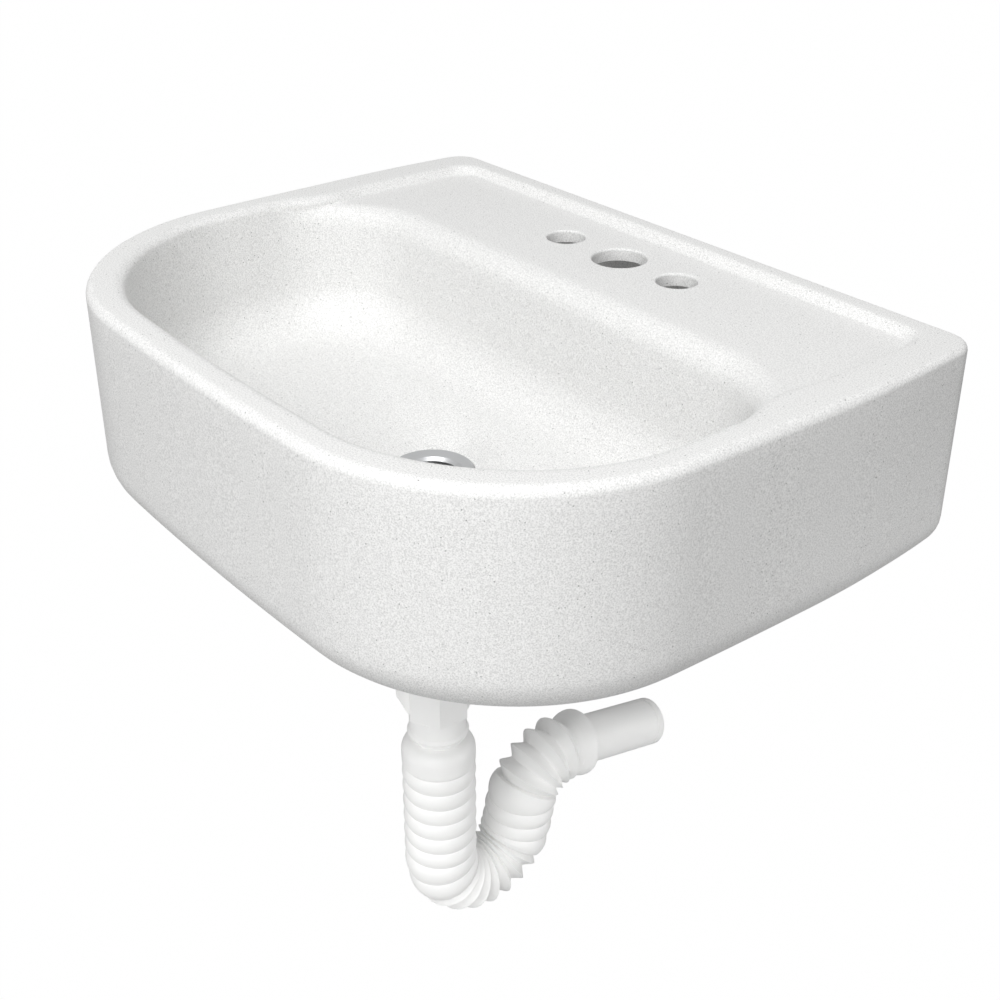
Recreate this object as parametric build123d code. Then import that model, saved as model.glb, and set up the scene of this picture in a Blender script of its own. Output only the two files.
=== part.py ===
"""Wall-hung washbasin with a sunk tap deck, a strainer waste and a flexible ribbed trap.

Millimetres, +Z up.  The wall is the plane y = 0 and the basin stands out of it towards -Y.
The origin is the middle of the two wall-screw holes, on the wall face.
Heights inside a piece are written as drops below the rim, and level() turns a drop into z.
"""
import os
from math import cos, pi, radians, sin, tan

from build123d import *

# Basin, outer form
basin_depth = 355.0
widest_width = 468.6
basin_height = 141.5
wall_draw_in = 6.8
corner_draw_in = 7.3
front_bow = 10.0
wall_corner_radius = 16.0
rim_outer_round = 14.0
rim_wall_round = 4.0
under_roll_width = 44.0
under_roll_height = 33.0
wall_roll_share = 1.35
screw_drop = 75.0
screw_spacing = 280.0
screw_hole_radius = 5.0

# Bowl
rim_width = 21.0
side_rim_width = 21.3
bowl_rear_from_wall = 115.0
bowl_rear_draw_in = 7.0
bowl_corner_draw_in = 8.0
bowl_front_bow = 9.0
bowl_wall_draft = 5.0
bowl_floor_drop = 92.0
bowl_floor_round = 30.0
rim_inner_round = 6.0
waste_from_wall = 201.6
waste_seat_drop = 109.0
seat_land = 2.5

# Tap deck
deck_drop = 5.5
deck_draw_in = 6.0
deck_back_border = 20.0
deck_corner_radius = 16.0
deck_step_slope = 50.0
deck_thickness = 11.0
deck_roll_depth = 13.0
deck_roll_height = 14.0
roll_side_gap = 2.5
tap_from_wall = 53.6
tap_spacing = 101.6
tap_side_radius = 12.5
tap_centre_radius = 17.2
tap_edge_bevel = 1.2

# Underside
back_wall = 13.0
bowl_wall = 12.0
pocket_side_wall = 47.5
pocket_corner_radius = 14.0
foot_band = 13.0
waste_floor = 16.0

# Waste body and its seals
flange_radius = 26.0
flange_proud = 0.8
flange_dish_radius = 19.3
flange_dish_drop = 1.9
flange_thickness = 2.4
throat_radius = 17.0
throat_bars_drop = 5.0
bar_width = 2.6
bar_height = 3.2
hub_radius = 4.0
stem_radius = 20.8
stem_length = 44.0
flange_gasket_thickness = 1.4
under_gasket_thickness = 3.0
under_gasket_width = 9.0
friction_washer_thickness = 1.5
friction_washer_inset = 1.0
locknut_across_flats = 56.0
locknut_height = 9.0
locknut_bevel = 2.0

# Tailpiece
tail_radius = 15.9
tail_wall = 1.3
tail_collar_height = 9.0
tail_insertion = 23.0

# Trap inlet nut, its flat washer and the flange of the hose that the nut holds
nut_hex_radius = 21.6
nut_top_drop = 264.0
nut_hex_height = 25.0
nut_height = 40.4
nut_skirt_radius = 19.1
nut_lip_radius = 20.6
nut_lip_height = 4.0
nut_shoulder = 3.0
nut_chamber_wall = 1.4
nut_bevel = 1.2
wing_reach = 26.8
wing_straight = 9.0
wing_thickness = 5.0
wing_turn = 58.0
inlet_washer_thickness = 2.5
hose_flange_thickness = 2.5

# Trap hose: neck, domed shoulder and ribs
neck_radius = 16.4
neck_gap = 4.6
shoulder_radius = 25.0
shoulder_height = 9.8
shoulder_band = 11.2
rib_radius = 24.4
closed_valley_radius = 22.8
open_valley_radius = 18.2
hose_bore_radius = 14.8
leg_length = 82.6
leg_ribs = 7
u_bend_radius = 34.3
u_bend_turn = 168.45
u_bend_ribs = 13
rising_leg = 19.0
rising_ribs = 2
upper_bend_radius = 35.5
upper_bend_turn = 90.5
upper_ribs = 7

# Outlet spigot, with the collar that joins it to the ribs
collar_radius = 24.4
collar_root_radius = 21.6
collar_length = 11.0
collar_round = 3.0
spigot_radius = 17.8
spigot_wall = 1.8
spigot_length = 84.0
spigot_bevel = 2.5
spigot_groove = 0.4
spigot_groove_from_end = 6.0
spigot_groove_width = 1.2

# Clearances
thread_gap = 0.3
seat_gap = 0.05
overrun = 2.0

# Where the outline is widest and how round its corners are, as shares of the depth of basin or bowl
widest_place_share = 0.4028169
front_corner_share = 0.3577465
bowl_widest_place_share = 0.5159817
bowl_rear_corner_share = 0.283105
bowl_front_corner_share = 0.5114155

# Where the four circles of a rib stand along it, and the steps of a rolled edge's quarter turn
closed_rib_shares = (0.0, 0.12, 0.88, 1.0)
open_rib_shares = (0.0, 0.44, 0.56, 1.0)
roll_steps = 4
hang_down = (Align.CENTER, Align.CENTER, Align.MAX)

# Widths and depths that follow from the sizes above
wall_width = widest_width - 2 * wall_draw_in
corner_width = widest_width - 2 * corner_draw_in
widest_from_wall = basin_depth * widest_place_share
front_corner_radius = basin_depth * front_corner_share
bowl_depth = basin_depth - rim_width - bowl_rear_from_wall
bowl_widest_width = widest_width - 2 * side_rim_width
bowl_rear_width = bowl_widest_width - 2 * bowl_rear_draw_in
bowl_corner_width = bowl_widest_width - 2 * bowl_corner_draw_in
bowl_widest_from_wall = bowl_rear_from_wall + bowl_depth * bowl_widest_place_share
bowl_rear_corner_radius = bowl_depth * bowl_rear_corner_share
bowl_front_corner_radius = bowl_depth * bowl_front_corner_share
deck_width = bowl_rear_width - 2 * deck_draw_in
pocket_width = wall_width - 2 * pocket_side_wall

# Drops below the rim that follow from the sizes above
seat_ledge_drop = waste_seat_drop + flange_gasket_thickness + flange_thickness - flange_proud
recess_drop = seat_ledge_drop + waste_floor
under_gasket_drop = recess_drop
friction_washer_drop = under_gasket_drop + under_gasket_thickness
locknut_drop = friction_washer_drop + friction_washer_thickness
flange_top_drop = waste_seat_drop - flange_proud
stem_end_drop = flange_top_drop + flange_thickness + stem_length
nut_bottom_drop = nut_top_drop + nut_height
hose_flange_drop = nut_bottom_drop - nut_shoulder - seat_gap - hose_flange_thickness
tail_end_drop = hose_flange_drop - inlet_washer_thickness
tail_top_drop = stem_end_drop - tail_insertion
shoulder_drop = nut_bottom_drop + neck_gap
leg_top_drop = shoulder_drop + shoulder_height + shoulder_band


def level(drop):
    """Height of a point that lies this far below the rim."""
    return screw_drop - drop


def on_waste(shape):
    """Move a shape from the origin's vertical line to the waste's."""
    return Pos(0, -waste_from_wall) * shape


def d_face(back_y, back_half, widest_half, widest_y, corner_half, front_y, bow, back_r, front_r, drop):
    """D-shaped face looking up: straight back, bowed sides and front, four rounded corners."""
    corner_y = front_y + bow
    outline = Wire([
        Edge.make_line((back_half, back_y), (-back_half, back_y)),
        Edge.make_three_point_arc((-back_half, back_y), (-widest_half, widest_y), (-corner_half, corner_y)),
        Edge.make_three_point_arc((-corner_half, corner_y), (0, front_y), (corner_half, corner_y)),
        Edge.make_three_point_arc((corner_half, corner_y), (widest_half, widest_y), (back_half, back_y)),
    ])
    face = Face(outline)
    face = face.fillet_2d(front_r, face.vertices().sort_by(Axis.Y)[:2])
    corners = face.vertices().sort_by(Axis.Y)[-2:]
    return Pos(0, 0, level(drop)) * face.fillet_2d(back_r, corners)


def outer_face(inset, drop, wall_share=1, rear=0):
    """Outline of the outer body, drawn in by inset at the sides and front, and by rear at the wall.

    wall_share is how much of the inset the sides have where they meet the wall.
    """
    return d_face(-rear, wall_width / 2 - inset * wall_share, widest_width / 2 - inset, -widest_from_wall,
                  corner_width / 2 - inset, inset - basin_depth, front_bow, wall_corner_radius,
                  front_corner_radius - inset, drop)


def bowl_face(inset, drop, rear=0):
    """Outline of the bowl, drawn in all round, with its rear edge pushed back towards the wall by rear."""
    return d_face(rear - bowl_rear_from_wall - inset, bowl_rear_width / 2 - inset,
                  bowl_widest_width / 2 - inset, -bowl_widest_from_wall, bowl_corner_width / 2 - inset,
                  rim_width + inset - basin_depth, bowl_front_bow, bowl_rear_corner_radius - inset,
                  bowl_front_corner_radius - inset, drop)


def quarter(width, height):
    """Inset and drop along a quarter of an ellipse that starts straight down and ends level."""
    turns = [pi / 2 * step / roll_steps for step in range(roll_steps + 1)]
    return [(width * (1 - cos(turn)), height * sin(turn)) for turn in turns]


def ring(outer, inner, top_drop, height):
    """Flat ring on the waste axis."""
    solid = extrude(Circle(outer) - Circle(inner), height, dir=(0, 0, 1))
    return on_waste(Pos(0, 0, level(top_drop + height)) * solid)


def disc(radius, top_drop, height):
    """Solid disc on the waste axis."""
    return on_waste(Pos(0, 0, level(top_drop + height)) * extrude(Circle(radius), height, dir=(0, 0, 1)))


def turned(points):
    """Solid of revolution on the waste axis, from (radius, drop) points."""
    profile = make_face(Polyline([(r, level(drop)) for r, drop in points], close=True))
    return on_waste(revolve(Plane.XZ * profile, Axis.Z))


# Basin
def make_outer_body():
    """Straight walls, a top edge that is rounder at the front than at the wall, and a rolled-under foot."""
    roll_drop = basin_height - under_roll_height
    rear_share = rim_wall_round / rim_outer_round
    top = loft([outer_face(inset, rim_outer_round - rise, rear=inset * rear_share)
                for inset, rise in quarter(rim_outer_round, rim_outer_round)])
    walls = extrude(outer_face(0, roll_drop), roll_drop - rim_outer_round, dir=(0, 0, 1))
    roll = loft([outer_face(inset, roll_drop + drop, wall_roll_share)
                 for inset, drop in quarter(under_roll_width, under_roll_height)])
    return top + walls + roll


def make_bowl_space():
    """Room of the bowl: rounded mouth, drafted walls, rounded floor edge and a fall to the waste."""
    slope = tan(radians(bowl_wall_draft))
    wall_drop = bowl_floor_drop - bowl_floor_round
    draft = slope * (wall_drop - rim_inner_round)
    above = extrude(bowl_face(-rim_inner_round, 0), overrun, dir=(0, 0, 1))
    mouth = loft([bowl_face(-inset, rim_inner_round - rise)
                  for inset, rise in quarter(rim_inner_round, rim_inner_round)], ruled=True)
    walls = loft([bowl_face(0, rim_inner_round), bowl_face(draft, wall_drop)], ruled=True)
    roll = loft([bowl_face(slope * height + roll_side_gap, deck_drop + height,
                           depth + roll_side_gap - seat_gap)
                 for depth, height in [(deck_roll_depth - inset, rise)
                                       for rise, inset in quarter(deck_roll_height, deck_roll_depth)]],
                ruled=True)
    edge = loft([bowl_face(draft + inset, wall_drop + drop)
                 for inset, drop in quarter(bowl_floor_round, bowl_floor_round)])
    sump = on_waste(Pos(0, 0, level(waste_seat_drop)) * Circle(flange_radius + seat_land))
    fall = loft([bowl_face(draft + bowl_floor_round, bowl_floor_drop), sump.face()], ruled=True)
    seat = turned([(0, waste_seat_drop - overrun), (flange_radius + thread_gap, waste_seat_drop - overrun),
                   (flange_radius + thread_gap, seat_ledge_drop), (0, seat_ledge_drop)])
    return [above, mouth, walls, roll, edge, fall, seat]


def make_deck_space():
    """Sunk tap deck: a sloped step on three sides, open to the bowl at the front."""
    front = -bowl_rear_from_wall - bowl_rear_corner_radius
    middle = (front - deck_back_border) / 2
    depth = -deck_back_border - front
    flare = 2 * (deck_drop + overrun) * tan(radians(deck_step_slope))
    floor = RectangleRounded(deck_width, depth, deck_corner_radius)
    floor = Pos(0, middle, level(deck_drop)) * floor
    top = RectangleRounded(deck_width + flare, depth + flare, deck_corner_radius + flare / 2)
    top = Pos(0, middle, level(-overrun)) * top
    return loft([floor.face(), top.face()], ruled=True)


def make_tap_holes():
    """Three through holes with a bevelled edge at the deck."""
    holes = []
    radii = (tap_side_radius, tap_centre_radius, tap_side_radius)
    for x, radius in zip((-tap_spacing / 2, 0, tap_spacing / 2), radii):
        place = Pos(x, -tap_from_wall, level(deck_drop + deck_thickness + overrun))
        holes.append(place * extrude(Circle(radius), deck_thickness + 2 * overrun, dir=(0, 0, 1)))
        bevel = Cone(radius, radius + tap_edge_bevel, tap_edge_bevel, align=hang_down)
        holes.append(Pos(x, -tap_from_wall, level(deck_drop)) * bevel)
    return holes


def make_underside():
    """Open pocket under the tap deck, and the shallower recess round the waste."""
    pocket_front = -bowl_rear_from_wall + bowl_wall
    pocket_depth = -back_wall - pocket_front
    pocket = Pos(0, (pocket_front - back_wall) / 2, level(basin_height + overrun)) * RectangleRounded(
        pocket_width, pocket_depth, pocket_corner_radius)
    inset = under_roll_width + foot_band
    recess = d_face(-back_wall, pocket_width / 2, widest_width / 2 - inset, -widest_from_wall,
                    corner_width / 2 - inset, inset - basin_depth, front_bow, pocket_corner_radius,
                    front_corner_radius - inset, basin_height + overrun)
    return [extrude(pocket, basin_height + overrun - deck_drop - deck_thickness, dir=(0, 0, 1)),
            extrude(recess, basin_height + overrun - recess_drop, dir=(0, 0, 1))]


def make_screw_holes():
    """Two holes for the wall screws, into the pocket under the deck."""
    holes = []
    for x in (-screw_spacing / 2, screw_spacing / 2):
        hole = Cylinder(screw_hole_radius, back_wall + 2 * overrun)
        holes.append(Pos(x, -back_wall / 2, 0) * Rot(90, 0, 0) * hole)
    return holes


def make_basin():
    body = make_outer_body()
    for space in make_bowl_space():
        body -= space
    body -= make_deck_space()
    for space in make_underside():
        body -= space
    for hole in make_tap_holes() + make_screw_holes():
        body -= hole
    return body - disc(stem_radius + thread_gap, seat_ledge_drop - overrun, waste_floor + 2 * overrun)


# Waste body, seals and locknut
def make_drain_body():
    """Dished flange, threaded stem's core and a cross of bars with a hub."""
    dish_drop = flange_top_drop + flange_dish_drop
    bars_drop = flange_top_drop + throat_bars_drop
    body = turned([
        (flange_dish_radius, dish_drop), (flange_radius - flange_dish_drop / 2, flange_top_drop),
        (flange_radius, flange_top_drop + flange_proud),
        (flange_radius, flange_top_drop + flange_thickness),
        (stem_radius, flange_top_drop + flange_thickness), (stem_radius, stem_end_drop),
        (throat_radius, stem_end_drop), (throat_radius, dish_drop + flange_dish_drop)])
    bar = Box(throat_radius + stem_radius, bar_width, bar_height, align=hang_down)
    bars = bar + Rot(0, 0, 90) * bar + Cylinder(hub_radius, bar_height, align=hang_down)
    return body + on_waste(Pos(0, 0, level(bars_drop)) * bars)


def make_locknut():
    """Hexagonal nut with both outer rims bevelled."""
    corner = locknut_across_flats / 2 / cos(pi / 6)
    blank = extrude(RegularPolygon(corner, 6), locknut_height, dir=(0, 0, 1))
    blank = on_waste(Pos(0, 0, level(locknut_drop + locknut_height)) * blank)
    bottom = locknut_drop + locknut_height
    blank &= turned([(0, locknut_drop), (corner - locknut_bevel, locknut_drop),
                     (corner, locknut_drop + locknut_bevel), (corner, bottom - locknut_bevel),
                     (corner - locknut_bevel, bottom), (0, bottom)])
    return blank - disc(stem_radius + thread_gap, locknut_drop - overrun, locknut_height + 2 * overrun)


def make_tailpiece():
    """Tube with a thicker collar that sits inside the waste body's stem."""
    collar = throat_radius - seat_gap
    collar_end = tail_top_drop + tail_collar_height
    inner = tail_radius - tail_wall
    return turned([(inner, tail_top_drop), (collar, tail_top_drop), (collar, collar_end),
                   (tail_radius, collar_end + collar - tail_radius), (tail_radius, tail_end_drop),
                   (inner, tail_end_drop)])


# Trap
def make_inlet_nut():
    """Hexagonal hand nut with two wings, a round skirt and a lip that holds the hose's flange."""
    hex_end = nut_top_drop + nut_hex_height
    chamber_radius = nut_skirt_radius - nut_chamber_wall
    blank = extrude(RegularPolygon(nut_hex_radius, 6), nut_hex_height, dir=(0, 0, 1))
    blank = on_waste(Pos(0, 0, level(hex_end)) * Rot(0, 0, wing_turn - 30) * blank)
    blank &= turned([(0, nut_top_drop), (nut_hex_radius - nut_bevel, nut_top_drop),
                     (nut_hex_radius, nut_top_drop + nut_bevel), (nut_hex_radius, hex_end - nut_bevel),
                     (nut_skirt_radius, hex_end), (0, hex_end)])
    lip_drop = nut_bottom_drop - nut_lip_height
    skirt = turned([(0, hex_end - nut_bevel), (nut_skirt_radius, hex_end - nut_bevel),
                    (nut_skirt_radius, lip_drop), (nut_lip_radius, lip_drop + nut_lip_height / 2),
                    (nut_lip_radius - nut_bevel / 2, nut_bottom_drop), (0, nut_bottom_drop)])
    wing_side = make_face(Polyline(
        (0, level(nut_top_drop + nut_bevel)), (wing_reach, level(nut_top_drop + nut_bevel)),
        (wing_reach, level(nut_top_drop + wing_straight)), (nut_skirt_radius, level(hex_end)),
        (0, level(hex_end)), close=True))
    wing = extrude(Plane.XZ * wing_side, wing_thickness / 2, both=True)
    wings = on_waste(Rot(0, 0, wing_turn) * (wing + Rot(0, 0, 180) * wing))
    space = turned([
        (0, nut_top_drop - overrun), (tail_radius + thread_gap, nut_top_drop - overrun),
        (tail_radius + thread_gap, tail_end_drop - overrun), (chamber_radius, tail_end_drop - overrun),
        (chamber_radius, nut_bottom_drop - nut_shoulder),
        (neck_radius + thread_gap, nut_bottom_drop - nut_shoulder),
        (neck_radius + thread_gap, nut_bottom_drop + overrun), (0, nut_bottom_drop + overrun)])
    return blank + skirt + wings - space


def make_inlet_washer():
    """Flat rubber washer between the tailpiece's end and the hose's flange."""
    outer = nut_skirt_radius - nut_chamber_wall - thread_gap
    return ring(outer, hose_bore_radius, tail_end_drop, inlet_washer_thickness)


def rib_rows(count, shares, valley, crest):
    """Share along a run and radius of each circle of its ribs, valley to valley."""
    rows = []
    for rib in range(count):
        radii = (valley, crest, crest, valley)
        rows += [((rib + share) / count, radius) for share, radius in zip(shares, radii)][:-1]
    return rows + [(1, valley)]


def straight_run(start, heading, length):
    """Places along a straight run in the plane x = 0."""
    def place(share):
        along = share * length
        return start[0] + along * cos(heading), start[1] + along * sin(heading), heading
    return place


def bend_run(start, heading, radius, turn):
    """Places along an arc in the plane x = 0; a positive turn is anticlockwise with +Y to the right."""
    side = 1 if turn > 0 else -1
    centre = (start[0] - side * radius * sin(heading), start[1] + side * radius * cos(heading))

    def place(share):
        now = heading + share * turn
        return centre[0] + side * radius * sin(now), centre[1] - side * radius * cos(now), now
    return place


def plane_at(place):
    """Section plane at a place on the route, with the X axis kept steady."""
    y, z, heading = place
    return Plane(origin=(0, y, z), x_dir=(1, 0, 0), z_dir=(0, cos(heading), sin(heading)))


def ribbed(run, rows):
    """Ruled loft through the circles of one run's ribs."""
    return loft([(plane_at(run(share)) * Circle(radius)).face() for share, radius in rows], ruled=True)


leg_run = straight_run((-waste_from_wall, level(leg_top_drop)), -pi / 2, leg_length)
u_run = bend_run(leg_run(1)[:2], leg_run(1)[2], u_bend_radius, radians(u_bend_turn))
rising_run = straight_run(u_run(1)[:2], u_run(1)[2], rising_leg)
upper_run = bend_run(rising_run(1)[:2], rising_run(1)[2], upper_bend_radius, -radians(upper_bend_turn))
spigot_run = straight_run(upper_run(1)[:2], upper_run(1)[2], spigot_length)


def bore(runs, start_lead, end_lead):
    """Water way through one or more runs, made of straight tubes and torus arcs."""
    parts = []
    for run, is_bend in runs:
        first, middle, last = run(0), run(1 / 2), run(1)
        if is_bend:
            line = Edge.make_three_point_arc((0, *first[:2]), (0, *middle[:2]), (0, *last[:2]))
        else:
            line = Edge.make_line((0, *first[:2]), (0, *last[:2]))
        parts.append(sweep((plane_at(first) * Circle(hose_bore_radius)).face(), path=line))
    first, last = runs[0][0](0), runs[-1][0](1)
    parts.append(extrude(plane_at(first) * Circle(hose_bore_radius), -start_lead))
    parts.append(extrude(plane_at(last) * Circle(hose_bore_radius), end_lead))
    return parts


def make_trap_hose():
    """Neck with flange, domed shoulder, ribbed leg, U bend and rising leg, with its bore."""
    band_drop = shoulder_drop + shoulder_height
    dome = [(neck_radius + (shoulder_radius - neck_radius) * sin(turn),
             shoulder_drop + shoulder_height * (1 - cos(turn)))
            for turn in [pi / 2 * step / roll_steps for step in range(roll_steps + 1)]]
    flange_radius_in_nut = nut_skirt_radius - nut_chamber_wall - thread_gap
    flange_end = hose_flange_drop + hose_flange_thickness
    top = turned([(0, hose_flange_drop), (flange_radius_in_nut, hose_flange_drop),
                  (flange_radius_in_nut, flange_end), (neck_radius, flange_end)] + dome +
                 [(shoulder_radius, leg_top_drop - shoulder_band / 4), (closed_valley_radius, leg_top_drop),
                  (0, leg_top_drop)])
    hose = top
    hose += ribbed(leg_run, rib_rows(leg_ribs, closed_rib_shares, closed_valley_radius, rib_radius))
    hose += ribbed(u_run, rib_rows(u_bend_ribs, open_rib_shares, open_valley_radius, rib_radius))
    hose += ribbed(rising_run, rib_rows(rising_ribs, closed_rib_shares, closed_valley_radius, rib_radius))
    top_lead = leg_top_drop - hose_flange_drop + overrun
    for part in bore([(leg_run, False), (u_run, True), (rising_run, False)], top_lead, overrun):
        hose -= part
    return hose


def make_outlet_bellows():
    bellows = ribbed(upper_run, rib_rows(upper_ribs, open_rib_shares, open_valley_radius, rib_radius))
    for part in bore([(upper_run, True)], overrun, overrun):
        bellows -= part
    return bellows


def make_outlet_spigot():
    """Collar that closes the ribs, and the smooth tube that goes into the wall's waste pipe."""
    groove_end = spigot_length - spigot_groove_from_end
    groove_start = groove_end - spigot_groove_width
    inner = spigot_radius - spigot_wall
    points = [
        (hose_bore_radius, 0), (collar_radius - collar_round / 2, 0), (collar_radius, collar_round),
        (collar_radius, collar_length - collar_round), (collar_root_radius, collar_length),
        (spigot_radius, collar_length), (spigot_radius, groove_start),
        (spigot_radius - spigot_groove, groove_start), (spigot_radius - spigot_groove, groove_end),
        (spigot_radius, groove_end), (spigot_radius, spigot_length - spigot_bevel),
        (spigot_radius - spigot_wall / 2, spigot_length), (inner, spigot_length), (inner, collar_length),
        (hose_bore_radius, collar_length - spigot_wall)]
    profile = make_face(Polyline(points, close=True))
    tube = revolve(Plane.XZ * profile, Axis.Z)
    return plane_at(spigot_run(0)) * tube


def make_parts():
    flange_gasket_top = flange_top_drop + flange_thickness
    washer_radius = stem_radius + under_gasket_width - friction_washer_inset
    return {
        "basin": make_basin(),
        "drain_body": make_drain_body(),
        "flange_gasket": ring(flange_radius, stem_radius + seat_gap, flange_gasket_top,
                              flange_gasket_thickness),
        "under_gasket": ring(stem_radius + under_gasket_width, stem_radius + seat_gap, under_gasket_drop,
                             under_gasket_thickness),
        "friction_washer": ring(washer_radius, stem_radius + seat_gap, friction_washer_drop,
                                friction_washer_thickness),
        "waste_locknut": make_locknut(),
        "tailpiece": make_tailpiece(),
        "inlet_nut": make_inlet_nut(),
        "inlet_washer": make_inlet_washer(),
        "trap_hose": make_trap_hose(),
        "outlet_bellows": make_outlet_bellows(),
        "outlet_spigot": make_outlet_spigot(),
    }


if __name__ == "__main__":
    os.makedirs("parts", exist_ok=True)
    for name, solid in make_parts().items():
        export_step(solid, f"parts/{name}.step")
        print(name, len(solid.solids()), solid.is_valid, round(solid.volume))
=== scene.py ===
"""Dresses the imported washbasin: speckled resin basin, steel strainer waste and white ribbed trap.

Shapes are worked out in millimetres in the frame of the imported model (wall plane y = 0, +Z up) and
put into the meshes in metres. Every finished object sits at the origin, with its place in its mesh.
"""

import logging
from dataclasses import dataclass, field, replace
from enum import Enum

import bmesh
import bpy
import numpy as np
from bpy.types import Material, Node, NodeSocket, NodeTree, Object
from mathutils import Matrix


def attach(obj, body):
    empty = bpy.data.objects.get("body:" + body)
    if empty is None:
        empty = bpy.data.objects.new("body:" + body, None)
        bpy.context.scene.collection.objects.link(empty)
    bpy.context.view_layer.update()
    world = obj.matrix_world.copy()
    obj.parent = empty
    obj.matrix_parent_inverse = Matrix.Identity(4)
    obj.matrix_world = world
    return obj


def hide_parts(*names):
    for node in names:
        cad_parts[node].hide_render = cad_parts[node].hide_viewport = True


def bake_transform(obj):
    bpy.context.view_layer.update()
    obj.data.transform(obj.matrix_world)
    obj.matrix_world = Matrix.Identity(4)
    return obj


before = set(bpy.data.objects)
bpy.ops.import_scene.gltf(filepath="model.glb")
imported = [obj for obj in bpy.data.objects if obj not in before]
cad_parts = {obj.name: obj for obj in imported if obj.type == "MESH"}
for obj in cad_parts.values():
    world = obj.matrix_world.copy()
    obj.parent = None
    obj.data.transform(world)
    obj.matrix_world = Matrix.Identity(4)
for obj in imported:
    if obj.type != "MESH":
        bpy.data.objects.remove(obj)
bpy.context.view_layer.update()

MM = 0.001
MERGE_DISTANCE = 0.002 * MM
SLIVER_LENGTH = 0.001 * MM
LOG = logging.getLogger("washbasin")
Array = np.ndarray
Row = tuple[Array, Array]
Pair = tuple[float, float]
Triple = tuple[float, float, float]


def linear_colour(hex_colour: str) -> tuple[float, float, float, float]:
    """Turn an sRGB hex colour into linear RGBA.

    Args:
        hex_colour: Six hex digits.
    Returns:
        Linear red, green, blue and an alpha of one.
    """
    channels = [int(hex_colour[start:start + 2], 16) / 255 for start in (0, 2, 4)]
    linear = [c / 12.92 if c <= 0.04045 else ((c + 0.055) / 1.055) ** 2.4 for c in channels]
    return (*linear, 1.0)


def set_inputs(tree: NodeTree, node: Node, inputs: dict) -> None:
    """Set or link the inputs of a node.

    Args:
        tree: Node tree that holds the node.
        node: The node.
        inputs: A value, a hex colour or an output socket for each input, by name or number.
    """
    for name, value in inputs.items():
        if isinstance(value, NodeSocket):
            tree.links.new(value, node.inputs[name])
        elif isinstance(value, str):
            node.inputs[name].default_value = linear_colour(value)
        else:
            node.inputs[name].default_value = value


def add_node(tree: NodeTree, kind: str, settings: dict | None = None,
             inputs: dict | None = None) -> Node:
    """Add a shader node, set its properties, and set or link its inputs.

    Args:
        tree: Node tree that gets the node.
        kind: Blender's type name of the node, without its prefix.
        settings: Property values by property name.
        inputs: A value, a hex colour or an output socket for each input, by name or number.
    Returns:
        The new node.
    """
    node = tree.nodes.new(f"ShaderNode{kind}")
    for name, value in (settings or {}).items():
        setattr(node, name, value)
    set_inputs(tree, node, inputs or {})
    return node


def axes_matrix(*columns: Triple | Array) -> Matrix:
    """Matrix of an object from its three axes and its place."""
    return Matrix([[column[row] for column in columns] for row in range(3)] + [[0, 0, 0, 1]])


def smooth_step(values: Array) -> Array:
    """Cubic ease from 0 to 1 of values cut to that range: 3t^2 - 2t^3."""
    cut = np.clip(values, 0, 1)
    return cut * cut * (3 - 2 * cut)


def full_turn(count: int) -> Array:
    """Evenly spaced angles all round, from 0 on."""
    return np.linspace(0, 2 * np.pi, count, endpoint=False)


def quarter_turn(count: int) -> Array:
    """Evenly spaced angles from 0 to 90 degrees, with both ends."""
    return np.linspace(0, np.pi / 2, count)


def pairs(distance: Array, radius: Array) -> Array:
    """Rows of distance and radius."""
    return np.stack([distance, radius], axis=-1)


def tidy_mesh(piece: Object) -> None:
    """Merge doubled points and turn all faces outwards.

    Args:
        piece: Piece whose mesh is changed.
    """
    shape = bmesh.new()
    shape.from_mesh(piece.data)
    bmesh.ops.remove_doubles(shape, verts=shape.verts, dist=MERGE_DISTANCE)
    bmesh.ops.dissolve_degenerate(shape, edges=shape.edges, dist=SLIVER_LENGTH)
    bmesh.ops.recalc_face_normals(shape, faces=shape.faces)
    shape.to_mesh(piece.data)
    shape.free()


def closed_grid(name: str, points: Array, closed_rows: bool = False) -> Object:
    """Make an object from a grid of points whose columns close on themselves.

    The quad between rows i, i+1 and columns j, j+1 has the four grid points as corners. Doubled
    points are merged, and all faces are turned outwards.

    Args:
        name: Name of the object.
        points: Array of rows, columns and the three coordinates, in millimetres.
        closed_rows: Whether the last row joins the first.
    Returns:
        The linked object, shaded smooth.
    """
    rows, columns = points.shape[:2]
    index = np.arange(rows * columns).reshape(rows, columns)
    index = np.concatenate([index, index[:, :1]], axis=1)
    if closed_rows:
        index = np.concatenate([index, index[:1]], axis=0)
    quads = np.stack([index[:-1, :-1], index[:-1, 1:], index[1:, 1:], index[1:, :-1]], axis=-1)
    quads = quads.reshape(-1, 4)
    mesh = bpy.data.meshes.new(name)
    mesh.from_pydata(points.reshape(-1, 3) * MM, [], quads)
    mesh.polygons.foreach_set("use_smooth", np.ones(len(quads), dtype=bool))
    mesh.update()
    piece = bpy.data.objects.new(name, mesh)
    bpy.context.scene.collection.objects.link(piece)
    tidy_mesh(piece)
    return piece


def sharpen(piece: Object, degrees: float = 38.0) -> None:
    """Mark edges that turn more than an angle as sharp, so that smooth shading stops there.

    Args:
        piece: Piece whose mesh is changed.
        degrees: The angle.
    """
    shape = bmesh.new()
    shape.from_mesh(piece.data)
    limit = float(np.radians(degrees))
    for edge in shape.edges:
        edge.smooth = len(edge.link_faces) != 2 or edge.calc_face_angle(0) < limit
    shape.to_mesh(piece.data)
    shape.free()


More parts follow.
